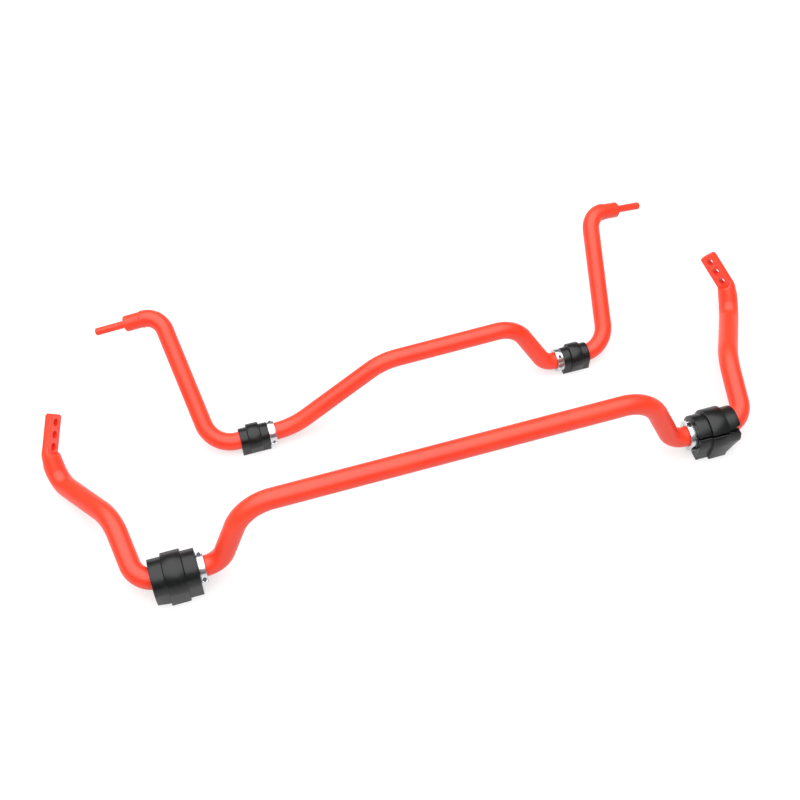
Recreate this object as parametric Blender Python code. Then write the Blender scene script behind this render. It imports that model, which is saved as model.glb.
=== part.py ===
"""Sway bar kit: a front and a rear anti-roll bar, lying side by side.

Each bar is one bent length of round bar. It turns in two split rubber bushings, and a two-piece
clamp collar with two socket screws sits against the inner end of each bushing. The front bar ends
in flat blades with three link holes, the rear bar in turned-down pins.
Metres, +Z up, X along the bushing axes. Both bars lie on the ground plane z = 0.
"""
import math

import bmesh
import bpy
from mathutils import Matrix, Vector

MM = 0.001

# Facets of the round pieces.
BAR_SIDES = 20
BORE_SIDES = 24
SCREW_SIDES = 16
BEND_STEP = math.radians(10)        # one ring of the bar for each step of a bend

# Clearances between neighbouring pieces.
RUNNING_GAP = 0.3 * MM              # bushing or collar bore to bar
END_GAP = 0.3 * MM                  # collar to bushing, and to the end of the bend behind it
SPLIT_GAP = 0.6 * MM                # between the two halves of a collar
SCREW_GAP = 0.3 * MM                # screw to its hole and pocket

# The kit on the ground: the origin is at the middle of the kit's own box.
FRONT_AXIS_Y = -170.25 * MM
BAR_SPACING = 181.8 * MM            # front bushing axis to rear bushing axis
REAR_SHIFT_X = 2.6 * MM

# Front bar, right half: bend corners as (x, y, z) in mm from its bushing axis, and bend radii.
# x starts at the bar's middle for the arch, and at the bushing's outer end for the arm.
FRONT_DIAMETER = 28 * MM
FRONT_ARCH = [((277.5, 19.0, 93.0), 59), ((320.5, 0.0, 0.0), 31.5)]
FRONT_ARM = [
    ((18.1, 0.0, 0.0), 32.5),
    ((31.6, 92.0, 22.5), 69),
    ((91.1, 191.8, -18.6), 32),
    ((96.1, 223.0, 9.0), 14),
]
FRONT_TIP = (77.8, 266.3, 38.0)

# Blade at each end of the front bar.
BLADE_THICKNESS = 12 * MM
BLADE_WIDTH = 24.5 * MM
BLADE_LENGTH = 54 * MM
BLADE_BLEND = 16 * MM               # round bar to blade
BLADE_CHAMFER = 3 * MM
BLADE_TILT = math.radians(28)       # the drilled face leans up by this much
LINK_HOLE_DIAMETER = 10.5 * MM
LINK_HOLE_PITCH = 16.8 * MM
LINK_HOLE_FROM_TIP = 11.5 * MM
LINK_HOLES = 3

# Rear bar: its arch is off centre. The arms match, each measured from its own elbow.
REAR_DIAMETER = 24.5 * MM
REAR_ARCH_LEFT = [((-180.0, 0.0, 0.0), 95), ((-42.3, 19.6, 75.6), 84)]
REAR_ARCH_RIGHT = [((153.6, 21.7, 77.0), 46), ((199.5, 0.0, 0.0), 24.6)]
REAR_ELBOW_FROM_BUSHING = (39.0 * MM, 31.1 * MM)    # left, right
REAR_ARM = [((0.0, 0.0, 0.0), 39.5), ((27.3, 168.4, 101.9), 27)]
REAR_TIP = (116.9, 184.7, 75.6)

# Turned-down ends of the rear bar.
PIN_DIAMETER = 10.6 * MM
PIN_LENGTH = 44.5 * MM
PIN_CHAMFER = 1.2 * MM
TURNED_DIAMETER = 22.6 * MM
TURNED_LENGTH = 24 * MM


# How the socket-head screws sit in the collars.
SCREW_HEAD_SUNK = 0.5 * MM
SCREW_TIP_SUNK = 0.5 * MM
SCREW_WALL = 0.7 * MM               # collar left between the bore and a screw hole
POCKET_WALL = 0.6 * MM              # collar left outside a screw's pocket


def flat_radius(radius, sides):
    """Corner radius of a polygon whose flats stand at the given radius."""
    return radius / math.cos(math.pi / sides)


class BushingSize:
    """A D-shaped bushing: round crown, straight flanks, flat base, and a raised band round it."""

    def __init__(self, bar, wall, under, flank_lean, end_width, band_width, band_rise, foot_rise,
                 flare, flare_depth, toe_ins, notches):
        self.bar = bar
        self.crown = bar / 2 + RUNNING_GAP + wall
        self.axis_height = bar / 2 + RUNNING_GAP + under
        self.base_half = self.crown - flank_lean
        self.end_width = end_width          # plain end at each side of the band
        self.band_width = band_width
        self.length = 2 * end_width + band_width
        self.band_rise = band_rise
        self.foot_rise = foot_rise          # how far the band stands out at the base
        self.flare = flare                  # the bore opens this much towards the bend outside
        self.flare_depth = flare_depth
        self.toe_ins = toe_ins              # the base is this much narrower at the bend outside
        self.notches = notches              # outer width of the slit at the bend, left and right


FRONT_BUSHING = BushingSize(bar=FRONT_DIAMETER, wall=12.7 * MM, under=13.7 * MM,
                            flank_lean=1 * MM, end_width=17.5 * MM, band_width=26.5 * MM,
                            band_rise=4 * MM, foot_rise=4 * MM, flare=FRONT_DIAMETER / 8,
                            flare_depth=14 * MM, toe_ins=(2 * MM, 7 * MM),
                            notches=(3 * MM, 12 * MM))
REAR_BUSHING = BushingSize(bar=REAR_DIAMETER, wall=3.45 * MM, under=4.45 * MM,
                           flank_lean=-0.2 * MM, end_width=11 * MM, band_width=18 * MM,
                           band_rise=3.5 * MM, foot_rise=0, flare=REAR_DIAMETER / 25,
                           flare_depth=8 * MM, toe_ins=(0, 0), notches=(3 * MM, 3 * MM))
BAND_SLOPE = 1.0 * MM
SLIT_ANGLE = math.radians(40)       # above the horizontal, on one side
SLIT_INNER = 1.2 * MM
SLIT_OUTER = 3.0 * MM


class ScrewSize:
    """A socket-head cap screw."""

    def __init__(self, diameter, head_diameter, head_height, socket_size, socket_depth):
        self.diameter = diameter
        self.head_diameter = head_diameter
        self.head_height = head_height
        self.socket_size = socket_size
        self.socket_depth = socket_depth


class CollarSize:
    """A clamp collar in two halves, with a lug for a screw at each side of the split."""

    def __init__(self, bar, screw, wall, lug_height, width):
        self.bar = bar
        self.screw = screw
        self.outer = bar / 2 + RUNNING_GAP + wall
        self.screw_offset = bar / 2 + RUNNING_GAP + SCREW_WALL + SCREW_GAP + screw.diameter / 2
        self.pocket = flat_radius(screw.head_diameter / 2 + SCREW_GAP, SCREW_SIDES)
        self.lug_reach = self.screw_offset + self.pocket + POCKET_WALL
        self.lug_height = lug_height
        self.head_seat = lug_height - SCREW_HEAD_SUNK - screw.head_height
        self.width = width


FRONT_SCREW = ScrewSize(diameter=3 * MM, head_diameter=5.5 * MM, head_height=3 * MM,
                        socket_size=2.5 * MM, socket_depth=1.5 * MM)
REAR_SCREW = ScrewSize(diameter=2 * MM, head_diameter=3.8 * MM, head_height=2 * MM,
                       socket_size=1.5 * MM, socket_depth=1 * MM)
FRONT_COLLAR = CollarSize(bar=FRONT_DIAMETER, screw=FRONT_SCREW, wall=5 * MM,
                          lug_height=8.5 * MM, width=9 * MM)
REAR_COLLAR = CollarSize(bar=REAR_DIAMETER, screw=REAR_SCREW, wall=4.05 * MM,
                         lug_height=7 * MM, width=9.5 * MM)

# Turn of each collar about the bar, left and right; at zero its screws stand upright.
FRONT_COLLAR_LEANS = (math.radians(30), math.radians(40))
REAR_COLLAR_LEANS = (math.radians(30), math.radians(-38))

RED_COAT = (0.83, 0.045, 0.02)
BLACK_RUBBER = (0.035, 0.036, 0.04)
BRIGHT_ALUMINIUM = (0.86, 0.86, 0.87)
SCREW_STEEL = (0.30, 0.30, 0.31)


# ---------------------------------------------------------------- helpers

def clear_scene():
    for thing in list(bpy.data.objects):
        bpy.data.objects.remove(thing, do_unlink=True)


def make_material(name, colour, roughness, metallic):
    material = bpy.data.materials.new(name)
    material.use_nodes = True
    shader = material.node_tree.nodes["Principled BSDF"]
    shader.inputs["Base Color"].default_value = (*colour, 1.0)
    shader.inputs["Roughness"].default_value = roughness
    shader.inputs["Metallic"].default_value = metallic
    return material


def add_object(name, bm, material, parent, location=(0, 0, 0), rotation=(0, 0, 0)):
    """Turns a bmesh into an object under its parent, with outward faces."""
    bmesh.ops.recalc_face_normals(bm, faces=bm.faces)
    mesh = bpy.data.meshes.new(name)
    bm.to_mesh(mesh)
    bm.free()
    mesh.shade_smooth()
    mesh.set_sharp_from_angle(angle=math.radians(40))
    mesh.materials.append(material)
    thing = bpy.data.objects.new(name, mesh)
    bpy.context.scene.collection.objects.link(thing)
    thing.parent = parent
    thing.location = location
    thing.rotation_euler = rotation
    return thing


def add_empty(name, parent, location=(0, 0, 0), rotation=(0, 0, 0)):
    empty = bpy.data.objects.new(name, None)
    bpy.context.scene.collection.objects.link(empty)
    empty.parent = parent
    empty.location = location
    empty.rotation_euler = rotation
    return empty


def cut(target, cutter):
    """Subtracts the cutter, which stays in the file as a wire guide."""
    cutter.hide_render = True
    cutter.display_type = "WIRE"
    boolean = target.modifiers.new("cut " + cutter.name, "BOOLEAN")
    boolean.operation = "DIFFERENCE"
    boolean.solver = "EXACT"
    boolean.object = cutter


def grow(bm, face, ring, is_first):
    """Extrudes an end face; only the first one stays as a cap.

    Returns the new end face, and its corners in the order of the old ring.
    """
    grown = bmesh.ops.extrude_face_region(bm, geom=[face])["geom"]
    if not is_first:
        bmesh.ops.delete(bm, geom=[face], context="FACES_ONLY")
    end_face = next(item for item in grown if isinstance(item, bmesh.types.BMFace))
    new_verts = set(end_face.verts)
    new_ring = [next(edge.other_vert(vert) for edge in vert.link_edges
                     if edge.other_vert(vert) in new_verts) for vert in ring]
    return end_face, new_ring


# ---------------------------------------------------------------- bent bars

class Route:
    """A bar's centre line: straight runs joined by bends of given radii."""

    def __init__(self, corners, radii):
        self.pieces = []
        start = corners[0]
        for i in range(1, len(corners) - 1):
            back = (corners[i - 1] - corners[i]).normalized()
            ahead = (corners[i + 1] - corners[i]).normalized()
            turn = math.pi - back.angle(ahead)
            reach = bend_reach(corners[i - 1], corners[i], corners[i + 1], radii[i - 1])
            bend_start = corners[i] + back * reach
            bend_end = corners[i] + ahead * reach
            self.pieces.append(("run", start, bend_start, None, 0.0))
            towards_centre = (back + ahead).normalized()
            centre = corners[i] + towards_centre * radii[i - 1] / math.cos(turn / 2)
            self.pieces.append(("bend", bend_start, bend_end, centre, turn))
            start = bend_end
        self.pieces.append(("run", start, corners[-1], None, 0.0))

    def rings(self, step):
        """Distance, point and direction at each end of a run and at each step round a bend."""
        rings = []
        travelled = 0.0
        for kind, start, end, centre, turn in self.pieces:
            if kind == "run":
                length = (end - start).length
                rings.append((travelled, start, (end - start).normalized()))
                travelled += length
                last = (travelled, end, (end - start).normalized())
                continue
            radius = (start - centre).length
            axis = (start - centre).cross(end - centre).normalized()
            steps = max(2, math.ceil(turn / step))
            for k in range(steps):
                spin = Matrix.Rotation(turn * k / steps, 3, axis)
                arm = spin @ (start - centre)
                rings.append((travelled + radius * turn * k / steps, centre + arm,
                              axis.cross(arm).normalized()))
            travelled += radius * turn
        rings.append(last)
        return rings


def bend_reach(before, corner, after, radius):
    """Distance from a bend's corner to where the bend starts."""
    turn = math.pi - (before - corner).angle(after - corner)
    return radius * math.tan(turn / 2)


def add_rings(rings, distances):
    """Adds rings between those of a bar, at the given distances along it."""
    for wanted in distances:
        for i in range(len(rings) - 1):
            near, far = rings[i], rings[i + 1]
            if near[0] + 0.2 * MM < wanted < far[0] - 0.2 * MM:
                share = (wanted - near[0]) / (far[0] - near[0])
                point = near[1].lerp(far[1], share)
                direction = near[2].lerp(far[2], share).normalized()
                rings.insert(i + 1, (wanted, point, direction))
                break
    return rings


def round_section(radius):
    """Points of a round section, as offsets along the two axes of its ring."""
    step = 2 * math.pi / BAR_SIDES
    return [(radius * math.cos(k * step), radius * math.sin(k * step)) for k in range(BAR_SIDES)]


def blade_section(thickness, width):
    """Points of a blade's section: a flat inner face with crisp edges and a rounder outer face."""
    points = []
    step = 2 * math.pi / BAR_SIDES
    for k in range(BAR_SIDES):
        c, s = math.cos(k * step), math.sin(k * step)
        roundness = 0.5 if c > 0 else 0.28
        across = math.copysign(abs(c) ** roundness, c) / 0.9
        along = math.copysign(abs(s) ** roundness, s)
        across = max(-1.0, min(1.0, across))
        points.append((across * thickness / 2, along * width / 2))
    return points


def blend_sections(one, other, share):
    return [(a[0] + (b[0] - a[0]) * share, a[1] + (b[1] - a[1]) * share)
            for a, b in zip(one, other)]


def sweep(stations, first_axis):
    """Extrudes a section from station to station: (point, direction, section) each."""
    bm = bmesh.new()
    point, direction, section = stations[0]
    across = (first_axis - direction * first_axis.dot(direction)).normalized()
    ring = bmesh.ops.create_circle(bm, cap_ends=True, segments=BAR_SIDES, radius=1.0)["verts"]
    place_ring(ring, point, direction, across, section)
    end_face = bm.faces[:][0]
    for i, (point, direction, section) in enumerate(stations[1:]):
        across = (across - direction * across.dot(direction)).normalized()
        end_face, ring = grow(bm, end_face, ring, i == 0)
        place_ring(ring, point, direction, across, section)
    return bm, end_face


def place_ring(ring, point, direction, across, section):
    up = direction.cross(across)
    for vert, (a, b) in zip(ring, section):
        vert.co = point + across * a + up * b


# ---------------------------------------------------------------- places along the bars

def metres(corner, shift_x=0.0, side=1):
    """A corner in metres, mirrored for side -1, with its x measured outward from shift_x."""
    x, y, z = corner
    return Vector((side * (x * MM + shift_x), y * MM, z * MM))


def seat_end(inner_face, collar, bushing):
    """Distance from the bar's middle to the outer end of a bushing."""
    return inner_face + collar.width + END_GAP + bushing.length


def front_inner_face():
    """Distance from the front bar's middle to its collars."""
    (arch, _), (foot, radius) = FRONT_ARCH
    beyond = metres(foot) + Vector((1, 0, 0))
    return foot[0] * MM + bend_reach(metres(arch), metres(foot), beyond, radius * MM) + END_GAP


def rear_inner_faces():
    """Distances from the rear bar's middle to its left and right collars."""
    faces = []
    for side, arch, (foot, radius) in ((-1, REAR_ARCH_LEFT[1], REAR_ARCH_LEFT[0]),
                                       (1, REAR_ARCH_RIGHT[0], REAR_ARCH_RIGHT[1])):
        beyond = metres(foot) + Vector((side, 0, 0))
        reach = bend_reach(metres(arch[0]), metres(foot), beyond, radius * MM)
        faces.append(side * foot[0] * MM + reach + END_GAP)
    return faces


# ---------------------------------------------------------------- front bar

def front_arm_corners():
    """Corners of the right arm from its elbow on, with the tip last."""
    outer_end = seat_end(front_inner_face(), FRONT_COLLAR, FRONT_BUSHING)
    corners = [metres(corner, outer_end) for corner, radius in FRONT_ARM]
    return corners + [metres(FRONT_TIP, outer_end)]


def front_route():
    """Right half of the front bar, from the tip of the blade to the middle."""
    arch = [metres(corner) for corner, radius in FRONT_ARCH]
    middle = Vector((0.0, arch[0].y, arch[0].z))
    corners = [middle] + arch + front_arm_corners()
    radii = [radius * MM for corner, radius in FRONT_ARCH + FRONT_ARM]
    return Route(corners[::-1], radii[::-1])


def blade_axes():
    """Tip of the right blade, direction to it, and the outward normal of the drilled face."""
    shoulder, tip = front_arm_corners()[-2:]
    to_tip = (tip - shoulder).normalized()
    inward = Vector((-1, 0, 0))
    inward = (inward - to_tip * inward.dot(to_tip)).normalized()
    upward = inward.cross(to_tip)
    if upward.z < 0:
        upward.negate()
    drilled = inward * math.cos(BLADE_TILT) + upward * math.sin(BLADE_TILT)
    return tip, to_tip, drilled


def front_sections(from_tip):
    """The section of the front bar at a distance from its tip."""
    blade = blade_section(BLADE_THICKNESS, BLADE_WIDTH)
    if from_tip < BLADE_CHAMFER:
        cut_back = BLADE_CHAMFER - from_tip
        return blade_section(BLADE_THICKNESS - cut_back * 0.3, BLADE_WIDTH - 2 * cut_back)
    if from_tip <= BLADE_LENGTH:
        return blade
    share = min(1.0, (from_tip - BLADE_LENGTH) / BLADE_BLEND)
    return blend_sections(blade, round_section(FRONT_DIAMETER / 2), share)


def build_front_bar(parent, material):
    tip, to_tip, drilled = blade_axes()
    rings = front_route().rings(BEND_STEP)
    extra = [BLADE_CHAMFER, BLADE_LENGTH, BLADE_LENGTH + BLADE_BLEND * 0.35,
             BLADE_LENGTH + BLADE_BLEND * 0.7, BLADE_LENGTH + BLADE_BLEND]
    rings = add_rings(rings, extra)
    stations = [(point, direction, front_sections(at)) for at, point, direction in rings]
    bm, end_face = sweep(stations, -drilled)
    bmesh.ops.delete(bm, geom=[end_face], context="FACES_ONLY")
    bar = add_object("front_bar", bm, material, parent)
    mirror = bar.modifiers.new("left half", "MIRROR")
    mirror.merge_threshold = 0.0001
    cut(bar, build_link_hole_cutter(parent, material, tip, to_tip, drilled))
    return bar


def build_link_hole_cutter(parent, material, tip, to_tip, drilled):
    """Cylinders through the blade, square to its drilled face, mirrored to the other blade."""
    bm = bmesh.new()
    face_turn = drilled.to_track_quat("Z", "Y").to_matrix().to_4x4()
    for k in range(LINK_HOLES):
        middle = tip - to_tip * (LINK_HOLE_FROM_TIP + k * LINK_HOLE_PITCH)
        bmesh.ops.create_cone(bm, cap_ends=True, segments=SCREW_SIDES,
                              radius1=LINK_HOLE_DIAMETER / 2, radius2=LINK_HOLE_DIAMETER / 2,
                              depth=3 * BLADE_THICKNESS,
                              matrix=Matrix.Translation(middle) @ face_turn)
    cutter = add_object("link_hole_cutter", bm, material, parent)
    mirror = cutter.modifiers.new("left half", "MIRROR")
    mirror.use_mirror_merge = False
    return cutter


# ---------------------------------------------------------------- rear bar

def rear_corners():
    """All the corners of the rear bar, from the left tip to the right tip, and its bend radii."""
    arms = []
    for side, inner_face, reach in zip((-1, 1), rear_inner_faces(), REAR_ELBOW_FROM_BUSHING):
        elbow = seat_end(inner_face, REAR_COLLAR, REAR_BUSHING) + reach
        arm = [metres(corner, elbow, side) for corner, radius in REAR_ARM]
        arms.append(arm + [metres(REAR_TIP, elbow, side)])
    left_arm, right_arm = arms
    arch = REAR_ARCH_LEFT + REAR_ARCH_RIGHT
    corners = left_arm[::-1] + [metres(corner) for corner, radius in arch] + right_arm
    arm_radii = [radius * MM for corner, radius in REAR_ARM]
    return corners, arm_radii[::-1] + [radius * MM for corner, radius in arch] + arm_radii


def rear_end_steps():
    """Distance from a tip and radius there, as the turned-down end widens in steps."""
    pin = PIN_DIAMETER / 2
    turned = TURNED_DIAMETER / 2
    shoulder_end = PIN_LENGTH + TURNED_LENGTH
    return [(0.0, pin - PIN_CHAMFER), (PIN_CHAMFER, pin), (PIN_LENGTH, pin),
            (PIN_LENGTH, turned - PIN_CHAMFER), (PIN_LENGTH + PIN_CHAMFER, turned),
            (shoulder_end, turned), (shoulder_end + PIN_CHAMFER, REAR_DIAMETER / 2)]


def build_rear_bar(parent, material):
    corners, radii = rear_corners()
    rings = Route(corners, radii).rings(BEND_STEP)
    total = rings[-1][0]
    steps = rear_end_steps()
    clear = steps[-1][0] + 0.5 * MM
    _, left_tip, left_direction = rings[0]
    _, right_tip, right_direction = rings[-1]
    stations = [(left_tip + left_direction * at, left_direction, round_section(radius))
                for at, radius in steps]
    full = round_section(REAR_DIAMETER / 2)
    stations += [(point, direction, full) for at, point, direction in rings
                 if clear < at < total - clear]
    stations += [(right_tip - right_direction * at, right_direction, round_section(radius))
                 for at, radius in reversed(steps)]
    bm, end_face = sweep(stations, Vector((0, 0, 1)))
    return add_object("rear_bar", bm, material, parent)


# ---------------------------------------------------------------- bushings

def bushing_outline(size, rise, opening, slit_side, toe_in, notch):
    """Closed outline in (y, z), round the outside from one lip of the slit and back by the bore.

    opening goes from 0 to 1 towards the end at the bend.
    """
    crown = size.crown + rise
    base = size.base_half + size.foot_rise * rise / size.band_rise - toe_in * opening
    bore = flat_radius(size.bar / 2 + RUNNING_GAP, BORE_SIDES) + size.flare * opening
    slit_outer = SLIT_OUTER + (notch - SLIT_OUTER) * opening
    slit = SLIT_ANGLE if slit_side > 0 else math.pi - SLIT_ANGLE
    outer_half = math.asin(slit_outer / 2 / crown)
    inner_half = math.asin(SLIT_INNER / 2 / bore)

    def arc(radius, start, end, steps):
        return [(radius * math.cos(start + (end - start) * k / steps),
                 radius * math.sin(start + (end - start) * k / steps)) for k in range(steps + 1)]

    top_steps = max(2, round((math.pi - slit) / math.radians(15)))
    low_steps = max(2, round(slit / math.radians(15)))
    outline = arc(crown, slit + outer_half, math.pi, top_steps)
    outline += [(-base, -size.axis_height), (base, -size.axis_height)]
    outline += arc(crown, 0.0, slit - outer_half, low_steps)
    outline += arc(bore, slit - inner_half, slit + inner_half - 2 * math.pi, BORE_SIDES)
    return outline


def build_bushing(name, size, outward, slit_side, parent, material):
    """A bushing about its own middle. outward is +1 where the bar's bend lies towards +X."""
    toe_in = size.toe_ins[(outward + 1) // 2]
    notch = size.notches[(outward + 1) // 2]
    half = size.length / 2
    band = size.band_width / 2
    steps = [(-half, 0.0, 0.0), (-band, 0.0, 0.0), (-band + BAND_SLOPE, size.band_rise, 0.0),
             (band - BAND_SLOPE, size.band_rise, 0.0), (band, 0.0, 0.0),
             (half - size.flare_depth, 0.0, 0.0), (half, 0.0, 1.0)]
    bm = bmesh.new()
    for i, (x, rise, opening) in enumerate(steps):
        outline = bushing_outline(size, rise, opening, slit_side, toe_in, notch)
        places = [Vector((x * outward, y, z)) for y, z in outline]
        if i == 0:
            ring = [bm.verts.new(place) for place in places]
            end_face = bm.faces.new(ring)
            continue
        end_face, ring = grow(bm, end_face, ring, i == 1)
        for vert, place in zip(ring, places):
            vert.co = place
    return add_object(name, bm, material, parent)


# ---------------------------------------------------------------- collars and screws

def collar_half_outline(size):
    """Upper half of a collar in (y, z), lugs included, with the split at z = 0."""
    bore = flat_radius(size.bar / 2 + RUNNING_GAP, BORE_SIDES)
    low = SPLIT_GAP / 2
    lug_angle = math.asin(size.lug_height / size.outer)
    bore_angle = math.asin(low / bore)
    outline = [(bore * math.cos(bore_angle), low), (size.lug_reach, low)]
    outline.append((size.lug_reach, size.lug_height))
    steps = 10
    for k in range(steps + 1):
        angle = lug_angle + (math.pi - 2 * lug_angle) * k / steps
        outline.append((size.outer * math.cos(angle), size.outer * math.sin(angle)))
    outline += [(-size.lug_reach, size.lug_height), (-size.lug_reach, low)]
    steps = BORE_SIDES // 2
    for k in range(steps):
        angle = math.pi - bore_angle - (math.pi - 2 * bore_angle) * k / steps
        outline.append((bore * math.cos(angle), bore * math.sin(angle)))
    return outline


def build_collar_half(name, size, side, parent, material):
    """side is +1 for the half with the screw pockets and -1 for the threaded half."""
    bm = bmesh.new()
    ring = [bm.verts.new((-size.width / 2, y, z * side)) for y, z in collar_half_outline(size)]
    _, far_ring = grow(bm, bm.faces.new(ring), ring, True)
    bmesh.ops.translate(bm, verts=far_ring, vec=(size.width, 0, 0))
    half = add_object(name, bm, material, parent)
    cut(half, build_screw_cutter(name, size, parent, material))
    return half


def build_screw_cutter(name, size, parent, material):
    """Both screw holes of a collar, each with a pocket for the head, as turned solids."""
    bm = bmesh.new()
    hole = flat_radius(size.screw.diameter / 2 + SCREW_GAP, SCREW_SIDES)
    floor = size.head_seat - SCREW_GAP
    past = size.outer
    profile = [(hole, -past), (hole, floor), (size.pocket, floor), (size.pocket, past)]
    for side in (-1, 1):
        add_turned(bm, profile, Vector((0, side * size.screw_offset, 0)), SCREW_SIDES)
    return add_object(name + "_screw_cutter", bm, material, parent)


def add_turned(bm, profile, centre, sides):
    """Adds a solid turned about a line along Z: (radius, height) points from bottom to top."""
    radius, height = profile[0]
    start = Matrix.Translation(centre + Vector((0, 0, height)))
    ring = bmesh.ops.create_circle(bm, cap_ends=True, segments=sides, radius=radius,
                                   matrix=start)["verts"]
    face = ring[0].link_faces[0]
    for i, (radius, height) in enumerate(profile[1:]):
        face, ring = grow(bm, face, ring, i == 0)
        middle = centre + Vector((0, 0, height))
        for vert in ring:
            arm = vert.co - centre
            arm.z = 0.0
            vert.co = middle + arm.normalized() * radius


def build_screw(name, size, side, parent, material):
    """A socket-head screw through one lug pair, with its head up."""
    bm = bmesh.new()
    centre = Vector((0, side * size.screw_offset, 0))
    seat = size.head_seat
    top = seat + size.screw.head_height
    head = size.screw.head_diameter / 2
    shank = size.screw.diameter / 2
    edge = 0.3 * MM
    profile = [(shank, SCREW_TIP_SUNK - size.lug_height), (shank, seat), (head, seat),
               (head, top - edge), (head - edge, top)]
    add_turned(bm, profile, centre, SCREW_SIDES)
    screw = add_object(name, bm, material, parent)
    socket = bmesh.new()
    across_corners = size.screw.socket_size / math.cos(math.pi / 6)
    bmesh.ops.create_cone(socket, cap_ends=True, segments=6, radius1=across_corners / 2,
                          radius2=across_corners / 2, depth=2 * size.screw.socket_depth,
                          matrix=Matrix.Translation(centre + Vector((0, 0, top))))
    cut(screw, add_object(name + "_socket_cutter", socket, material, parent))
    return screw


# ---------------------------------------------------------------- assembly

def build_fittings(prefix, bushing, collar, inner_faces, slit_sides, leans, axis, looks):
    """Bushings, collars and screws of one bar, on the empty at the middle of its axis."""
    for side, name, inner_face, slit_side, lean in zip((-1, 1), ("left", "right"), inner_faces,
                                                       slit_sides, leans):
        collar_x = side * (inner_face + collar.width / 2)
        bushing_x = side * (seat_end(inner_face, collar, bushing) - bushing.length / 2)

        seat = add_empty(f"{prefix}_bushing_{name}_axis", axis, (bushing_x, 0, 0))
        build_bushing(f"{prefix}_bushing_{name}", bushing, side, slit_side, seat,
                      looks["rubber"])

        clamp = add_empty(f"{prefix}_collar_{name}_axis", axis, (collar_x, 0, 0), (lean, 0, 0))
        stem = f"{prefix}_collar_{name}"
        build_collar_half(stem + "_upper", collar, 1, clamp, looks["aluminium"])
        build_collar_half(stem + "_lower", collar, -1, clamp, looks["aluminium"])
        build_screw(stem + "_screw_front", collar, -1, clamp, looks["steel"])
        build_screw(stem + "_screw_rear", collar, 1, clamp, looks["steel"])


def main():
    clear_scene()
    looks = {
        "coat": make_material("red powder coat", RED_COAT, 0.35, 0.0),
        "rubber": make_material("black rubber", BLACK_RUBBER, 0.6, 0.0),
        "aluminium": make_material("bright aluminium", BRIGHT_ALUMINIUM, 0.2, 1.0),
        "steel": make_material("screw steel", SCREW_STEEL, 0.35, 1.0),
    }
    front_axis = add_empty("front_axis", None, (0, FRONT_AXIS_Y, FRONT_BUSHING.axis_height))
    rear_axis = add_empty("rear_axis", None,
                          (REAR_SHIFT_X, FRONT_AXIS_Y + BAR_SPACING, REAR_BUSHING.axis_height))
    build_front_bar(front_axis, looks["coat"])
    build_rear_bar(rear_axis, looks["coat"])
    front_faces = (front_inner_face(), front_inner_face())
    build_fittings("front", FRONT_BUSHING, FRONT_COLLAR, front_faces, (1, -1),
                   FRONT_COLLAR_LEANS, front_axis, looks)
    build_fittings("rear", REAR_BUSHING, REAR_COLLAR, rear_inner_faces(), (1, 1),
                   REAR_COLLAR_LEANS, rear_axis, looks)


main()
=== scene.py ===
"""A pair of sway bars, front and rear: powder-coated steel bars in rubber bushings and collars.

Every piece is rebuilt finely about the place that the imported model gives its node.
"""

import math

import bmesh
import bpy
from mathutils import Matrix, Vector


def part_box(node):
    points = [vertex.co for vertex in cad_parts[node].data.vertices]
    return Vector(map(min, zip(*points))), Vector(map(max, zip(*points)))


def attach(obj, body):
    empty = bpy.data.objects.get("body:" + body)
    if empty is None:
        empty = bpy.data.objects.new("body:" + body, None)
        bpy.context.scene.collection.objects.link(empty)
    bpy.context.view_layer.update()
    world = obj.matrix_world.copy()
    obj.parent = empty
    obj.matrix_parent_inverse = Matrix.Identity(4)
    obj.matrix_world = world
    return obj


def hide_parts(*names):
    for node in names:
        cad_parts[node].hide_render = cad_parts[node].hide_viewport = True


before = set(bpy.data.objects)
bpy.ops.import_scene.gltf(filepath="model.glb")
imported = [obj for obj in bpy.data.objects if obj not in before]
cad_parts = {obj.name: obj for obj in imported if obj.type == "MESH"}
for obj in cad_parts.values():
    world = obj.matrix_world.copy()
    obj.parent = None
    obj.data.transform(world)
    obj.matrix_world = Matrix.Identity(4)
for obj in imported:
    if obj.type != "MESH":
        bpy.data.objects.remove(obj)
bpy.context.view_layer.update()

MM = 0.001
BAR_SIDES = 64
BORE_SIDES = 64
BEND_STEP = math.radians(3)
RIDGE_ANGLE = math.radians(32)      # edges sharper than this are shaded as ridges
RING_GAP = 0.3 * MM                 # least distance between the rings of a bar
WELD = 0.01 * MM
RUNNING_GAP = 0.3 * MM

# Front bar: bend corners in mm and bend radii. x starts at the bar's middle for the arch, and at
# the bushing's outer end for the arm.
FRONT_RADIUS = 14 * MM
FRONT_AXIS_HEIGHT = 28 * MM
FRONT_ARCH = [((277.5, 19.0, 93.0), 59), ((320.5, 0.0, 0.0), 31.5)]
FRONT_ARM = [
    ((18.1, 0.0, 0.0), 32.5),
    ((31.6, 92.0, 22.5), 69),
    ((91.1, 191.8, -18.6), 32),
    ((96.1, 223.0, 9.0), 14),
]
FRONT_TIP = (77.8, 266.3, 38.0)

# Forged blade at each end of the front bar.
BLADE_THICKNESS = 12 * MM
BLADE_WIDTH = 24.5 * MM
BLADE_LENGTH = 54 * MM
BLADE_TILT = math.radians(28)
TIP_CHAMFER = 3 * MM
TIP_EDGE = 0.8 * MM
FACE_EDGE = 0.8 * MM
BACK_EDGE = 5.0 * MM
STEP_LENGTH = 7.5 * MM
STEP_BOW = 5 * MM
BACK_BLEND = 26 * MM
BACK_BLEND_START = 6 * MM           # before the blade's end
SHOULDER_STEP = 0.6 * MM            # from ring to ring where the blade turns round
LINK_HOLE_RADIUS = 5.25 * MM
LINK_HOLE_LIP = 0.4 * MM
LINK_HOLE_PITCH = 16.8 * MM
LINK_HOLE_FROM_TIP = 11.5 * MM

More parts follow.
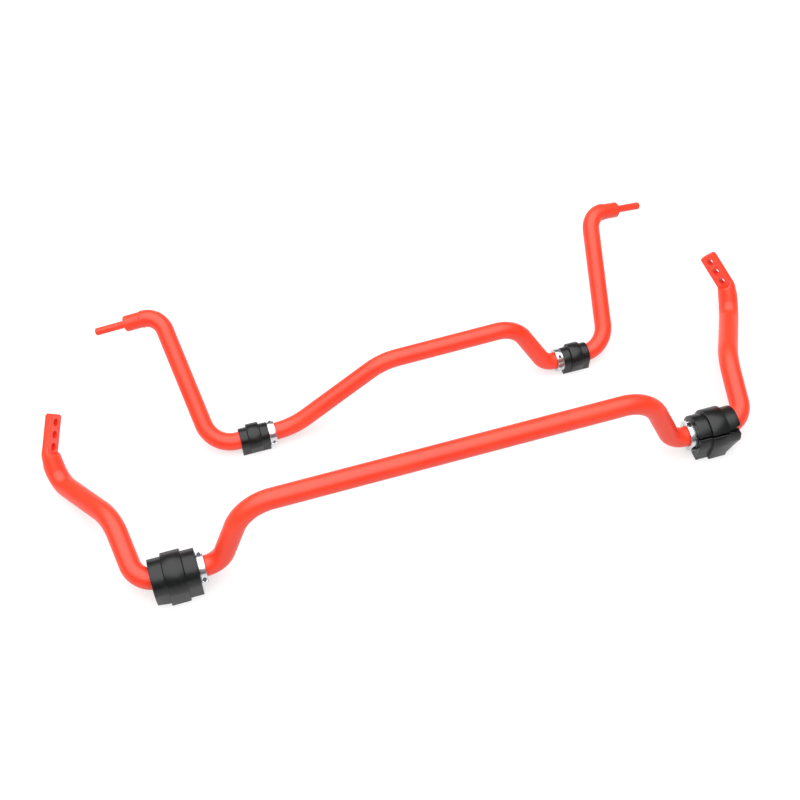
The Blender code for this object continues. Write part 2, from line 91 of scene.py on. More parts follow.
# Rear bar: the arch is off centre, and each arm starts at its own elbow.
REAR_RADIUS = 12.25 * MM
REAR_AXIS_HEIGHT = 17 * MM
REAR_SHIFT_X = 2.6 * MM
REAR_ARCH = [
    ((-180.0, 0.0, 0.0), 95),
    ((-42.3, 19.6, 75.6), 84),
    ((153.6, 21.7, 77.0), 46),
    ((199.5, 0.0, 0.0), 24.6),
]
REAR_ELBOW_FROM_BUSHING = {"left": 39.0 * MM, "right": 31.1 * MM}
REAR_ARM = [((0.0, 0.0, 0.0), 39.5), ((27.3, 168.4, 101.9), 27)]
REAR_TIP = (116.9, 184.7, 75.6)
PIN_RADIUS = 5.3 * MM
PIN_LENGTH = 44.5 * MM
PIN_CHAMFER = 1.2 * MM
TURNED_RADIUS = 11.3 * MM
TURNED_LENGTH = 24 * MM

# Bushings. The toe-in and the notch are at the end by the bend: there the base is narrower and
# the slit wider.
BAND_FOOT = [(-0.4 * MM, 0.0), (0.0, 0.3 * MM)]    # in from the band's edge, out from the end
BAND_TOP = [(0.35 * MM, 0.9 * MM), (0.6 * MM, 0.35 * MM), (1.2 * MM, 0.0)]    # in, below the top
END_EDGE = 0.7 * MM
FOOT_EDGE = 1.2 * MM
SLIT_EDGE = 0.5 * MM
SLIT_ANGLE = math.radians(40)
SLIT_INNER = 1.2 * MM
SLIT_OUTER = 3 * MM
BUSHINGS = {
    "front": dict(bar=FRONT_RADIUS, crown=27 * MM, base_half=26 * MM, end_width=17.5 * MM,
                  band_width=26.5 * MM, rise=4 * MM, foot_rise=4 * MM,
                  axis_height=FRONT_AXIS_HEIGHT, flare=FRONT_RADIUS / 4, flare_depth=14 * MM),
    "rear": dict(bar=REAR_RADIUS, crown=16 * MM, base_half=16.2 * MM, end_width=11 * MM,
                 band_width=18 * MM, rise=3.5 * MM, foot_rise=0, axis_height=REAR_AXIS_HEIGHT,
                 flare=REAR_RADIUS * 2 / 25, flare_depth=8 * MM),
}
SLIT_SIDES = {"front_left": 1, "front_right": -1, "rear_left": 1, "rear_right": 1}
TOE_INS = {"front_left": 2 * MM, "front_right": 7 * MM, "rear_left": 0, "rear_right": 0}
NOTCHES = {"front_left": 3 * MM, "front_right": 12 * MM, "rear_left": 3 * MM,
           "rear_right": 3 * MM}

# Clamp collars and their screws.
SPLIT_GAP = 0.6 * MM
COLLAR_EDGE = 0.4 * MM
COLLARS = {
    "front": dict(bar=FRONT_RADIUS, outer=19.3 * MM, lug_height=8.5 * MM, width=9 * MM,
                  screw=1.5 * MM, head=2.75 * MM, head_height=3 * MM, socket=2.5 * MM,
                  socket_depth=1.5 * MM),
    "rear": dict(bar=REAR_RADIUS, outer=16.6 * MM, lug_height=7 * MM, width=9.5 * MM,
                 screw=1.0 * MM, head=1.9 * MM, head_height=2 * MM, socket=1.5 * MM,
                 socket_depth=1.0 * MM),
}
COLLAR_LEANS = {"front_left": 30, "front_right": 40, "rear_left": 30, "rear_right": -38}
SCREW_WALL = 0.7 * MM
SCREW_GAP = 0.3 * MM
POCKET_WALL = 0.6 * MM
HEAD_SUNK = 0.5 * MM
TIP_SUNK = 0.5 * MM
SCREW_EDGE = 0.3 * MM

CAMERA_PLACE = (-0.3310, -0.95135, 1.5216)
CAMERA_FORWARD = (0.1721, 0.5304, -0.8301)
CAMERA_RIGHT = (0.9549, -0.2967, 0.0084)
LENS = 57.19
SENSOR_WIDTH = 36.0
LENS_SHIFT = (-0.0004, 0.0006)

# Studio: a large softbox overhead, as wide as its distance, and a sky that darkens to its edge.
SOFTBOX_PLACE = (-0.2, 0.15, 2.3)
SOFTBOX_SIZE = 4.2
SOFTBOX_POWER = 158
SKY_AT_HORIZON = 0.03
SKY_AT_ZENITH = 0.5
PAPER_GLOW = 0.62
FLOOR_HALF_WIDTH = 8.0


# ---------------------------------------------------------------- materials

def srgb(code):
    """A hex colour as linear values."""
    channels = [int(code[i:i + 2], 16) / 255 for i in (0, 2, 4)]
    linear = [c / 12.92 if c <= 0.04045 else ((c + 0.055) / 1.055) ** 2.4 for c in channels]
    return (*linear, 1.0)


def add_node(material, kind, settings=None, inputs=None):
    """Adds a node to a material or a world. Inputs are values, or (node, socket) to link from."""
    node = material.node_tree.nodes.new(kind)
    for name, value in (settings or {}).items():
        setattr(node, name, value)
    for name, value in (inputs or {}).items():
        if isinstance(value, tuple) and isinstance(value[0], bpy.types.Node):
            material.node_tree.links.new(value[0].outputs[value[1]], node.inputs[name])
        else:
            node.inputs[name].default_value = value
    return node


def start_material(name, **values):
    """A new material with its Principled shader and a node of Object coordinates."""
    material = bpy.data.materials.new(name)
    material.use_nodes = True
    shader = material.node_tree.nodes["Principled BSDF"]
    for socket, value in values.items():
        shader.inputs[socket.replace("_", " ")].default_value = value
    place = add_node(material, "ShaderNodeTexCoord")
    return material, shader, place


def join(material, node, output, shader, socket):
    material.node_tree.links.new(node.outputs[output], shader.inputs[socket])


def make_powder_coat():
    """Satin red polyester powder coat: soft broad highlights and a faint orange peel."""
    material, shader, place = start_material(
        "satin red polyester powder coat", Roughness=0.4, IOR=1.5)
    # Orange peel: lumps about 1.5 mm apart and a few microns high, drawn a little deeper.
    peel = add_node(material, "ShaderNodeTexNoise", None,
                    {"Vector": (place, "Object"), "Scale": 1 / (1.5 * MM), "Detail": 2.0,
                     "Roughness": 0.5})
    bump = add_node(material, "ShaderNodeBump", None,
                    {"Height": (peel, "Fac"), "Strength": 0.35, "Distance": 0.05 * MM})
    # The film varies in depth over patches about 60 mm long.
    patch = add_node(material, "ShaderNodeTexNoise", None,
                     {"Vector": (place, "Object"), "Scale": 1 / (60 * MM), "Detail": 3.0})
    tone = add_node(material, "ShaderNodeValToRGB", None, {"Fac": (patch, "Fac")})
    tone.color_ramp.elements[0].position = 0.35
    tone.color_ramp.elements[0].color = srgb("EE361C")
    tone.color_ramp.elements[1].position = 0.7
    tone.color_ramp.elements[1].color = srgb("F43E20")
    satin = add_node(material, "ShaderNodeMapRange", None,
                     {"Value": (patch, "Fac"), "From Min": 0.3, "From Max": 0.7,
                      "To Min": 0.36, "To Max": 0.44})
    join(material, tone, "Color", shader, "Base Color")
    join(material, satin, "Result", shader, "Roughness")
    join(material, bump, "Normal", shader, "Normal")
    return material


def make_rubber():
    """Black natural rubber, moulded: a dull sheen, fine mould texture and grey bloom."""
    material, shader, place = start_material("moulded black rubber", Roughness=0.35, IOR=1.52,
                                             Specular_IOR_Level=0.35)
    grain = add_node(material, "ShaderNodeTexNoise", None,
                     {"Vector": (place, "Object"), "Scale": 1 / (0.6 * MM), "Detail": 3.0})
    bump = add_node(material, "ShaderNodeBump", None,
                    {"Height": (grain, "Fac"), "Strength": 0.5, "Distance": 0.06 * MM})
    # Bloom gathers in cloudy patches about 12 mm across.
    bloom = add_node(material, "ShaderNodeTexNoise", None,
                     {"Vector": (place, "Object"), "Scale": 1 / (12 * MM), "Detail": 4.0,
                      "Roughness": 0.6})
    tone = add_node(material, "ShaderNodeValToRGB", None, {"Fac": (bloom, "Fac")})
    tone.color_ramp.elements[0].position = 0.3
    tone.color_ramp.elements[0].color = srgb("090A0B")
    tone.color_ramp.elements[1].position = 0.75
    tone.color_ramp.elements[1].color = srgb("121314")
    sheen = add_node(material, "ShaderNodeMapRange", None,
                     {"Value": (bloom, "Fac"), "From Min": 0.3, "From Max": 0.7,
                      "To Min": 0.3, "To Max": 0.38})
    join(material, tone, "Color", shader, "Base Color")
    join(material, sheen, "Result", shader, "Roughness")
    join(material, bump, "Normal", shader, "Normal")
    return material


def make_aluminium():
    """Aluminium, turned and tumbled bright: mirror-like, with rings left by the lathe."""
    material, shader, place = start_material("bright turned aluminium", Metallic=1.0,
                                             Roughness=0.2)
    # Lathe rings follow the bar, 0.25 mm apart, so the pattern is thin across X.
    stretch = add_node(material, "ShaderNodeMapping", None,
                       {"Vector": (place, "Object"),
                        "Scale": (1 / (0.25 * MM), 1 / (8 * MM), 1 / (8 * MM))})
    rings = add_node(material, "ShaderNodeTexNoise", None,
                     {"Vector": (stretch, "Vector"), "Scale": 1.0, "Detail": 1.0})
    bump = add_node(material, "ShaderNodeBump", None,
                    {"Height": (rings, "Fac"), "Strength": 0.3, "Distance": 0.02 * MM})
    tone = add_node(material, "ShaderNodeValToRGB", None, {"Fac": (rings, "Fac")})
    tone.color_ramp.elements[0].color = srgb("C2C4C7")
    tone.color_ramp.elements[1].color = srgb("D8DADC")
    dull = add_node(material, "ShaderNodeMapRange", None,
                    {"Value": (rings, "Fac"), "To Min": 0.2, "To Max": 0.32})
    join(material, tone, "Color", shader, "Base Color")
    join(material, dull, "Result", shader, "Roughness")
    join(material, bump, "Normal", shader, "Normal")
    return material


def make_screw_steel():
    """Plain alloy steel, lightly oiled: dark grey with small smears."""
    material, shader, place = start_material("oiled alloy steel", Metallic=1.0, Roughness=0.35)
    smear = add_node(material, "ShaderNodeTexNoise", None,
                     {"Vector": (place, "Object"), "Scale": 1 / (1.2 * MM), "Detail": 3.0})
    tone = add_node(material, "ShaderNodeValToRGB", None, {"Fac": (smear, "Fac")})
    tone.color_ramp.elements[0].color = srgb("3A3B3E")
    tone.color_ramp.elements[1].color = srgb("5E5F63")
    dull = add_node(material, "ShaderNodeMapRange", None,
                    {"Value": (smear, "Fac"), "To Min": 0.28, "To Max": 0.45})
    join(material, tone, "Color", shader, "Base Color")
    join(material, dull, "Result", shader, "Roughness")
    return material


# ---------------------------------------------------------------- pieces

def finish_piece(name, bm, material, body):
    """Makes an object of a bmesh: it stands for the node of its name and rides on its body."""
    bmesh.ops.recalc_face_normals(bm, faces=bm.faces)
    mesh = bpy.data.meshes.new(name)
    bm.to_mesh(mesh)
    bm.free()
    mesh.shade_smooth()
    mesh.set_sharp_from_angle(angle=RIDGE_ANGLE)
    mesh.materials.append(material)
    piece = bpy.data.objects.new(name + "_fine", mesh)
    bpy.context.scene.collection.objects.link(piece)
    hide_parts(name)
    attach(piece, body)
    return piece


def subtract(bm, cutter_bm):
    """The first shape with the second one cut away, as a new bmesh."""
    things = []
    for shape in (bm, cutter_bm):
        bmesh.ops.recalc_face_normals(shape, faces=shape.faces)
        mesh = bpy.data.meshes.new("cut")
        shape.to_mesh(mesh)
        shape.free()
        thing = bpy.data.objects.new("cut", mesh)
        bpy.context.scene.collection.objects.link(thing)
        things.append(thing)
    blank, cutter = things
    boolean = blank.modifiers.new("cut", "BOOLEAN")
    boolean.operation = "DIFFERENCE"
    boolean.solver = "EXACT"
    boolean.object = cutter
    depsgraph = bpy.context.evaluated_depsgraph_get()
    mesh = bpy.data.meshes.new_from_object(blank.evaluated_get(depsgraph))
    for thing in things:
        bpy.data.objects.remove(thing, do_unlink=True)
    result = bmesh.new()
    result.from_mesh(mesh)
    bpy.data.meshes.remove(mesh)
    return result


def grow(bm, face, ring, is_first):
    """Extrudes an end face; only the first one stays as a cap.

    Returns the new end face, and its corners in the order of the old ring.
    """
    grown = bmesh.ops.extrude_face_region(bm, geom=[face])["geom"]
    if not is_first:
        bmesh.ops.delete(bm, geom=[face], context="FACES_ONLY")
    end_face = next(item for item in grown if isinstance(item, bmesh.types.BMFace))
    new_verts = set(end_face.verts)
    new_ring = [next(edge.other_vert(vert) for edge in vert.link_edges
                     if edge.other_vert(vert) in new_verts) for vert in ring]
    return end_face, new_ring


def smooth_step(value):
    value = max(0.0, min(1.0, value))
    return value * value * (3 - 2 * value)


def mix(one, other, share):
    return one + (other - one) * share


# ---------------------------------------------------------------- bent bars

class Route:
    """A bar's centre line: straight runs joined by bends of given radii."""

    def __init__(self, corners, radii):
        self.pieces = []
        start = corners[0]
        for i in range(1, len(corners) - 1):
            back = (corners[i - 1] - corners[i]).normalized()
            ahead = (corners[i + 1] - corners[i]).normalized()
            turn = math.pi - back.angle(ahead)
            reach = radii[i - 1] * math.tan(turn / 2)
            bend_start = corners[i] + back * reach
            bend_end = corners[i] + ahead * reach
            self.add(start, bend_start, None, 0.0)
            towards_centre = (back + ahead).normalized()
            centre = corners[i] + towards_centre * radii[i - 1] / math.cos(turn / 2)
            self.add(bend_start, bend_end, centre, turn)
            start = bend_end
        self.add(start, corners[-1], None, 0.0)
        self.length = self.pieces[-1][0] + self.pieces[-1][1]

    def add(self, start, end, centre, turn):
        """Adds a run, or a bend if it turns: distance at its start, length, and its shape."""
        at = self.pieces[-1][0] + self.pieces[-1][1] if self.pieces else 0.0
        length = (end - start).length if centre is None else turn * (start - centre).length
        self.pieces.append((at, length, start, end, centre, turn))

    def place(self, distance):
        """Point and direction at a distance along the bar."""
        for at, length, start, end, centre, turn in self.pieces:
            if distance <= at + length + 1e-9:
                break
        share = (distance - at) / length
        if centre is None:
            return start.lerp(end, share), (end - start).normalized()
        axis = (start - centre).cross(end - centre).normalized()
        arm = Matrix.Rotation(turn * share, 3, axis) @ (start - centre)
        return centre + arm, axis.cross(arm).normalized()

    def stops(self):
        """Distances of the ends of the runs, and of each step round a bend."""
        distances = []
        for at, length, start, end, centre, turn in self.pieces:
            steps = 1 if centre is None else max(2, math.ceil(turn / BEND_STEP))
            distances += [at + length * k / steps for k in range(steps)]
        return distances + [self.length]


def clock(k):
    """Cosine and sine of a bar's k-th corner."""
    angle = 2 * math.pi * k / BAR_SIDES
    return math.cos(angle), math.sin(angle)


def sweep(stations, first_axis):
    """Extrudes a section along stations, each a point, a direction and a section."""
    bm = bmesh.new()
    ring = bmesh.ops.create_circle(bm, cap_ends=True, segments=BAR_SIDES, radius=1.0)["verts"]
    end_face = bm.faces[:][0]
    across = first_axis
    for i, (point, direction, section) in enumerate(stations):
        across = (across - direction * across.dot(direction)).normalized()
        up = direction.cross(across)
        if i:
            end_face, ring = grow(bm, end_face, ring, i == 1)
        for vert, (a, b) in zip(ring, section):
            vert.co = point + across * a + up * b
    return bm, end_face


def metres(corner, shift_x=0.0, side=1):
    """A corner in metres, mirrored for side -1, with its x measured outward from shift_x."""
    x, y, z = corner
    return Vector((side * (x * MM + shift_x), y * MM, z * MM))


def axis_middle(prefix, shift_x=0.0):
    """Middle of a bar's bushing axis."""
    low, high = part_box(prefix + "_bushing_right")
    return Vector((shift_x, (low.y + high.y) / 2, low.z + BUSHINGS[prefix]["axis_height"]))


# ---------------------------------------------------------------- front bar

def blade_point(k, from_tip):
    """A corner of the blade's section: a flat drilled face and a rounder back."""
    c, s = clock(k)
    edge = BACK_EDGE if c > 0 else FACE_EDGE
    half_thick = BLADE_THICKNESS / 2
    half_wide = BLADE_WIDTH / 2 - max(0.0, TIP_CHAMFER - from_tip)
    if from_tip < TIP_EDGE:
        drop = TIP_EDGE - math.sqrt(TIP_EDGE ** 2 - (TIP_EDGE - from_tip) ** 2)
        half_thick -= drop
        half_wide -= drop
    edge = min(edge, half_thick * 0.9)
    turn = math.atan2(abs(s), abs(c)) / (math.pi / 2)
    if turn < 0.5:
        a, b = half_thick, (half_wide - edge) * turn / 0.5
    elif turn < 0.85:
        corner = (turn - 0.5) / 0.35 * math.pi / 2
        a = half_thick - edge + edge * math.cos(corner)
        b = half_wide - edge + edge * math.sin(corner)
    else:
        a, b = (half_thick - edge) * (1 - turn) / 0.15, half_wide
    return math.copysign(a, c), math.copysign(b, s)


def front_section(from_tip):
    """The front bar's section at a distance from its tip."""
    if from_tip > BLADE_LENGTH + BACK_BLEND:
        return [(FRONT_RADIUS * clock(k)[0], FRONT_RADIUS * clock(k)[1])
                for k in range(BAR_SIDES)]
    section = []
    for k in range(BAR_SIDES):
        c, s = clock(k)
        step_start = BLADE_LENGTH - STEP_BOW * abs(s) ** 3
        rise = max(0.0, min(1.0, (from_tip - step_start) / STEP_LENGTH))
        face_share = 1 - (1 - rise) ** 2.2
        back_share = smooth_step((from_tip - BLADE_LENGTH + BACK_BLEND_START) / BACK_BLEND)
        share = mix(back_share, face_share, smooth_step(0.5 - c / 0.5))
        flat = blade_point(k, from_tip)
        section.append((mix(flat[0], FRONT_RADIUS * c, share),
                        mix(flat[1], FRONT_RADIUS * s, share)))
    return section


def build_front_bar(material):
    middle = axis_middle("front")
    outer_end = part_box("front_bushing_right")[1].x
    arch = [metres(corner) for corner, radius in FRONT_ARCH]
    arm = [metres(corner, outer_end) for corner, radius in FRONT_ARM]
    tip = metres(FRONT_TIP, outer_end)
    corners = [Vector((0.0, arch[0].y, arch[0].z))] + arch + arm + [tip]
    radii = [radius * MM for corner, radius in FRONT_ARCH + FRONT_ARM]
    route = Route(corners[::-1], radii[::-1])

    to_tip = (tip - arm[-1]).normalized()
    inward = Vector((-1, 0, 0))
    inward = (inward - to_tip * inward.dot(to_tip)).normalized()
    upward = inward.cross(to_tip)
    upward *= math.copysign(1.0, upward.z)
    drilled = inward * math.cos(BLADE_TILT) + upward * math.sin(BLADE_TILT)

    stops = [0.0, 0.15 * MM, 0.4 * MM, TIP_EDGE, TIP_CHAMFER]
    shoulder = BLADE_LENGTH - STEP_BOW
    while shoulder < BLADE_LENGTH + BACK_BLEND:
        stops.append(shoulder)
        shoulder += SHOULDER_STEP
    stops += [stop for stop in route.stops() if stop > stops[-1] + RING_GAP]
    stations = [(*route.place(stop), front_section(stop)) for stop in stops]
    bm, end_face = sweep(stations, -drilled)
    bmesh.ops.delete(bm, geom=[end_face], context="FACES_ONLY")

    holes = bmesh.new()
    square = drilled.to_track_quat("Z", "Y").to_matrix().to_4x4()
    half_thick = BLADE_THICKNESS / 2
    rim = LINK_HOLE_RADIUS + LINK_HOLE_LIP
    past = 3 * MM
    profile = [(rim + past, -half_thick - past), (LINK_HOLE_RADIUS, LINK_HOLE_LIP - half_thick),
               (LINK_HOLE_RADIUS, half_thick - LINK_HOLE_LIP), (rim + past, half_thick + past)]
    for k in range(3):
        centre = tip - to_tip * (LINK_HOLE_FROM_TIP + k * LINK_HOLE_PITCH)
        add_turned(holes, profile, Matrix.Translation(centre) @ square, 48)

    geom = bm.verts[:] + bm.edges[:] + bm.faces[:]
    bmesh.ops.mirror(bm, geom=geom, axis="X", merge_dist=WELD)
    geom = holes.verts[:] + holes.edges[:] + holes.faces[:]
    bmesh.ops.mirror(holes, geom=geom, axis="X", merge_dist=0.0)
    bar = subtract(bm, holes)
    bmesh.ops.translate(bar, verts=bar.verts, vec=middle)
    return finish_piece("front_bar", bar, material, "front_assembly")


# ---------------------------------------------------------------- rear bar

def rear_radius(from_tip):
    """The rear bar's radius near a tip: a pin, a turned-down stretch, and the full bar."""
    if from_tip < PIN_LENGTH:
        return PIN_RADIUS - max(0.0, PIN_CHAMFER - from_tip)
    if from_tip < PIN_LENGTH + PIN_CHAMFER:
        return TURNED_RADIUS - (PIN_LENGTH + PIN_CHAMFER - from_tip)
    beyond = from_tip - PIN_LENGTH - TURNED_LENGTH
    return mix(TURNED_RADIUS, REAR_RADIUS, max(0.0, min(1.0, beyond / PIN_CHAMFER)))


def build_rear_bar(material):
    middle = axis_middle("rear", REAR_SHIFT_X)
    arms = {}
    for name, side in (("left", -1), ("right", 1)):
        low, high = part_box("rear_bushing_" + name)
        outer_end = side * ((high if side > 0 else low).x - middle.x)
        elbow = outer_end + REAR_ELBOW_FROM_BUSHING[name]
        corners = [corner for corner, radius in REAR_ARM] + [REAR_TIP]
        arms[name] = [metres(corner, elbow, side) for corner in corners]
    corners = (arms["left"][::-1] + [metres(corner) for corner, radius in REAR_ARCH]
               + arms["right"])
    arm_radii = [radius * MM for corner, radius in REAR_ARM]
    radii = arm_radii[::-1] + [radius * MM for corner, radius in REAR_ARCH] + arm_radii
    route = Route(corners, radii)

    shoulder = PIN_LENGTH + TURNED_LENGTH
    end_stops = [0.0, PIN_CHAMFER, PIN_LENGTH - WELD, PIN_LENGTH, PIN_LENGTH + PIN_CHAMFER,
                 shoulder, shoulder + PIN_CHAMFER]
    clear = end_stops[-1] + RING_GAP
    stops = end_stops + [stop for stop in route.stops() if clear < stop < route.length - clear]
    stops += [route.length - stop for stop in reversed(end_stops)]
    stations = []
    for stop in stops:
        radius = rear_radius(min(stop, route.length - stop))
        section = [(radius * clock(k)[0], radius * clock(k)[1]) for k in range(BAR_SIDES)]
        stations.append((*route.place(stop), section))
    bm, _ = sweep(stations, Vector((0, 0, 1)))
    bmesh.ops.translate(bm, verts=bm.verts, vec=middle)
    return finish_piece("rear_bar", bm, material, "rear_assembly")


# ---------------------------------------------------------------- bushings

def arc(radius, start, end, steps):
    """Points of an arc in (y, z); with no steps, its start alone."""
    angles = [mix(start, end, k / max(steps, 1)) for k in range(steps + 1)]
    return [(radius * math.cos(angle), radius * math.sin(angle)) for angle in angles]


def bushing_outline(size, rise, opening, stem):
    """Closed outline in (y, z), round the outside from one lip of the slit and back by the bore.

    opening goes from 0 to 1 towards the end at the bend.
    """
    crown = size["crown"] + rise
    foot_rise = size["foot_rise"] * rise / size["rise"] if rise > 0 else rise
    base = size["base_half"] + foot_rise - TOE_INS[stem] * opening
    bore = size["bar"] + RUNNING_GAP + size["flare"] * opening
    slit_outer = mix(SLIT_OUTER, NOTCHES[stem], opening)
    foot = -size["axis_height"]
    slit = SLIT_ANGLE if SLIT_SIDES[stem] > 0 else math.pi - SLIT_ANGLE
    outer_half = math.asin(slit_outer / 2 / crown)
    inner_half = math.asin(SLIT_INNER / 2 / bore)
    lip = math.asin(SLIT_EDGE / crown)
    outline = arc(crown - SLIT_EDGE, slit + outer_half, slit + outer_half, 0)
    outline += arc(crown, slit + outer_half + lip, math.pi, 48)
    for side in (-1, 1):
        corner = [(side * (base - FOOT_EDGE * (1 - math.cos(turn))),
                   foot + FOOT_EDGE * (1 - math.sin(turn)))
                  for turn in (k * math.pi / 8 for k in range(5))]
        outline += corner if side < 0 else corner[::-1]
    outline += arc(crown, 0.0, slit - outer_half - lip, 24)
    outline += arc(crown - SLIT_EDGE, slit - outer_half, slit - outer_half, 0)
    outline += arc(bore, slit - inner_half, slit + inner_half - 2 * math.pi, BORE_SIDES)
    return outline


def bushing_steps(size):
    """Places along a bushing, from -x to x, with how far its outside stands out at each."""
    band = size["band_width"] / 2
    half = size["end_width"] + band
    steps = []
    for turn in (k * math.pi / 6 for k in range(4)):
        steps.append((-half + END_EDGE * (1 - math.cos(turn)), END_EDGE * (math.sin(turn) - 1)))
    steps += [(x - band, out) for x, out in BAND_FOOT]
    steps += [(x - band, size["rise"] - below) for x, below in BAND_TOP]
    steps += [(-x, value) for x, value in reversed(steps)]
    steps += [(half - size["flare_depth"] * share, 0.0) for share in (1, 0.5)]
    return sorted(steps)


def build_bushing(prefix, name, side, material):
    size = BUSHINGS[prefix]
    stem = f"{prefix}_{name}"
    low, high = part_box(f"{prefix}_bushing_{name}")
    middle = axis_middle(prefix, (low.x + high.x) / 2)
    flare_start = size["end_width"] + size["band_width"] / 2 - size["flare_depth"]
    bm = bmesh.new()
    for i, (x, value) in enumerate(bushing_steps(size)):
        opening = max(0.0, (x - flare_start) / size["flare_depth"])
        outline = bushing_outline(size, value, opening, stem)
        places = [middle + Vector((x * side, y, z)) for y, z in outline]
        if i == 0:
            ring = [bm.verts.new(place) for place in places]
            end_face = bm.faces.new(ring)
            continue
        end_face, ring = grow(bm, end_face, ring, i == 1)
        for vert, place in zip(ring, places):
            vert.co = place
    return finish_piece(f"{prefix}_bushing_{name}", bm, material, f"{prefix}_bushing_{name}")


# ---------------------------------------------------------------- collars and screws

def add_turned(bm, profile, place, sides):
    """Adds a solid turned about Z: (radius, height) points from bottom to top."""
    radius, height = profile[0]
    ring = bmesh.ops.create_circle(bm, cap_ends=True, segments=sides, radius=radius,
                                   matrix=Matrix.Translation((0, 0, height)))["verts"]
    face = ring[0].link_faces[0]
    made = list(ring)
    for i, (radius, height) in enumerate(profile[1:]):
        face, ring = grow(bm, face, ring, i == 0)
        made += ring
        for vert in ring:
            arm = Vector((vert.co.x, vert.co.y, 0)).normalized()
            vert.co = arm * radius + Vector((0, 0, height))
    bmesh.ops.transform(bm, matrix=place, verts=made)


def screw_offset(size):
    return size["bar"] + RUNNING_GAP + SCREW_WALL + SCREW_GAP + size["screw"]


def collar_place(prefix, name):
    """Where a collar sits: its middle, turned so that its screws lean with it."""
    low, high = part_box(f"{prefix}_collar_{name}_upper")
    middle = axis_middle(prefix, (low.x + high.x) / 2)
    lean = math.radians(COLLAR_LEANS[f"{prefix}_{name}"])
    return Matrix.Translation(middle) @ Matrix.Rotation(lean, 4, "X")


def collar_outline(size):
    """Upper half of a collar in (y, z), lugs included, with the split at z = 0."""
    bore = size["bar"] + RUNNING_GAP
    low = SPLIT_GAP / 2
    reach = screw_offset(size) + size["head"] + SCREW_GAP + POCKET_WALL
    lug_angle = math.asin(size["lug_height"] / size["outer"])
    bore_angle = math.asin(low / bore)
    outline = [(reach, low), (reach, size["lug_height"])]
    outline += arc(size["outer"], lug_angle, math.pi - lug_angle, 36)
    outline += [(-reach, size["lug_height"]), (-reach, low)]
    outline += arc(bore, math.pi - bore_angle, bore_angle, 40)
    return outline


def build_collar_half(prefix, name, level, side, material):
    size = COLLARS[prefix]
    bm = bmesh.new()
    half_wide = size["width"] / 2
    ring = [bm.verts.new((-half_wide, y, z * side)) for y, z in collar_outline(size)]
    _, far_ring = grow(bm, bm.faces.new(ring), ring, True)
    bmesh.ops.translate(bm, verts=far_ring, vec=(size["width"], 0, 0))
    bmesh.ops.recalc_face_normals(bm, faces=bm.faces)
    corners = [edge for edge in bm.edges if edge.calc_face_angle() > math.radians(40)]
    bmesh.ops.bevel(bm, geom=corners, offset=COLLAR_EDGE, segments=3, profile=0.5,
                    affect="EDGES", material=-1)

    pockets = bmesh.new()
    floor = size["lug_height"] - HEAD_SUNK - size["head_height"] - SCREW_GAP
    past = size["outer"]
    hole = size["screw"] + SCREW_GAP
    pocket = size["head"] + SCREW_GAP
    profile = [(hole, -past), (hole, floor), (pocket, floor), (pocket, past)]
    for way in (-1, 1):
        add_turned(pockets, profile, Matrix.Translation((0, way * screw_offset(size), 0)), 32)
    half = subtract(bm, pockets)
    bmesh.ops.transform(half, matrix=collar_place(prefix, name), verts=half.verts)
    return finish_piece(f"{prefix}_collar_{name}_{level}", half, material,
                        prefix + "_assembly")


def build_screw(prefix, name, end, side, material):
    """A socket-head cap screw, with its head up."""
    size = COLLARS[prefix]
    shank, head = size["screw"], size["head"]
    top = size["lug_height"] - HEAD_SUNK
    seat = top - size["head_height"]
    edge = SCREW_EDGE
    tip = TIP_SUNK - size["lug_height"]
    profile = [(shank - edge, tip), (shank, tip + edge), (shank, seat), (head, seat),
               (head, top - edge), (head - edge * 0.3, top - edge * 0.3), (head - edge, top)]
    place = Matrix.Translation((0, side * screw_offset(size), 0))
    bm = bmesh.new()
    add_turned(bm, profile, place, 32)
    socket = bmesh.new()
    across = size["socket"] / math.cos(math.pi / 6) / 2
    bmesh.ops.create_cone(socket, cap_ends=True, segments=6, radius1=across, radius2=across,
                          depth=2 * size["socket_depth"],
                          matrix=place @ Matrix.Translation((0, 0, top)))
    screw = subtract(bm, socket)
    bmesh.ops.transform(screw, matrix=collar_place(prefix, name), verts=screw.verts)
    return finish_piece(f"{prefix}_collar_{name}_screw_{end}", screw, material,
                        prefix + "_assembly")


# ---------------------------------------------------------------- studio

def make_floor():
    bm = bmesh.new()
    bmesh.ops.create_grid(bm, x_segments=1, y_segments=1, size=FLOOR_HALF_WIDTH)
    mesh = bpy.data.meshes.new("floor")
    bm.to_mesh(mesh)
    bm.free()
    floor = bpy.data.objects.new("floor", mesh)
    bpy.context.scene.collection.objects.link(floor)
    # The paper is lit through from below as well, so shadows on it stay faint.
    material, shader, place = start_material("backlit white studio paper", Roughness=0.9,
                                             Base_Color=srgb("A0A0A0"), Specular_IOR_Level=0.0,
                                             Emission_Color=srgb("FFFFFF"),
                                             Emission_Strength=PAPER_GLOW)
    mesh.materials.append(material)


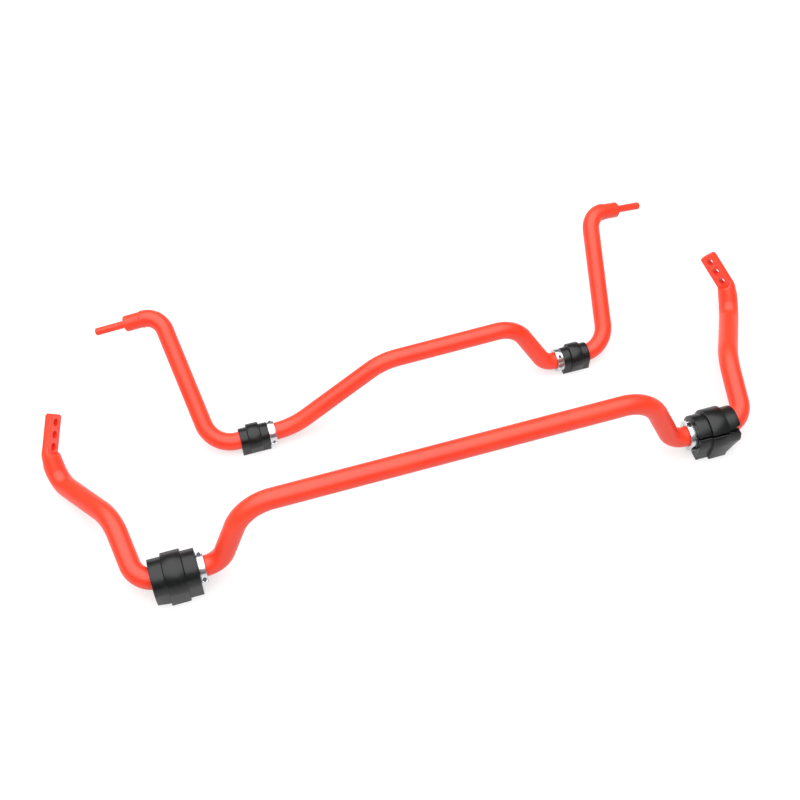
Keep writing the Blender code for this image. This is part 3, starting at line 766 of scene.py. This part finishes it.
def add_softbox():
    light = bpy.data.lights.new("overhead softbox", "AREA")
    light.size = SOFTBOX_SIZE
    light.energy = SOFTBOX_POWER
    softbox = bpy.data.objects.new("overhead softbox", light)
    softbox.location = SOFTBOX_PLACE
    softbox.rotation_euler = (-Vector(SOFTBOX_PLACE)).to_track_quat("-Z", "Y").to_euler()
    bpy.context.scene.collection.objects.link(softbox)


def make_sky():
    """White where the camera sees it; as light, grey above and nearly black at the horizon."""
    world = bpy.data.worlds.new("studio")
    world.use_nodes = True
    direction = add_node(world, "ShaderNodeTexCoord")
    height = add_node(world, "ShaderNodeSeparateXYZ", None, {"Vector": (direction, "Generated")})
    rise = add_node(world, "ShaderNodeMapRange", None,
                    {"Value": (height, "Z"), "To Min": SKY_AT_HORIZON, "To Max": SKY_AT_ZENITH})
    seen = add_node(world, "ShaderNodeLightPath")
    strength = add_node(world, "ShaderNodeMath", {"operation": "MAXIMUM"})
    join(world, rise, "Result", strength, 0)
    join(world, seen, "Is Camera Ray", strength, 1)
    background = world.node_tree.nodes["Background"]
    background.inputs["Color"].default_value = srgb("FFFFFF")
    join(world, strength, "Value", background, "Strength")
    bpy.context.scene.world = world


def set_up_camera():
    camera = bpy.data.cameras.new("camera")
    camera.lens = LENS
    camera.sensor_width = SENSOR_WIDTH
    camera.shift_x, camera.shift_y = LENS_SHIFT
    holder = bpy.data.objects.new("camera", camera)
    forward = Vector(CAMERA_FORWARD).normalized()
    right = Vector(CAMERA_RIGHT)
    right = (right - forward * right.dot(forward)).normalized()
    up = right.cross(forward)
    turn = Matrix((right, up, -forward)).transposed().to_4x4()
    holder.matrix_world = Matrix.Translation(CAMERA_PLACE) @ turn
    bpy.context.scene.collection.objects.link(holder)
    bpy.context.scene.camera = holder


def main():
    coat = make_powder_coat()
    rubber = make_rubber()
    aluminium = make_aluminium()
    steel = make_screw_steel()
    build_front_bar(coat)
    build_rear_bar(coat)
    for prefix in ("front", "rear"):
        for name, side in (("left", -1), ("right", 1)):
            build_bushing(prefix, name, side, rubber)
            build_collar_half(prefix, name, "upper", 1, aluminium)
            build_collar_half(prefix, name, "lower", -1, aluminium)
            build_screw(prefix, name, "front", -1, steel)
            build_screw(prefix, name, "rear", 1, steel)
    make_floor()
    make_sky()
    add_softbox()
    set_up_camera()
    bpy.context.scene.view_settings.view_transform = "Standard"


main()
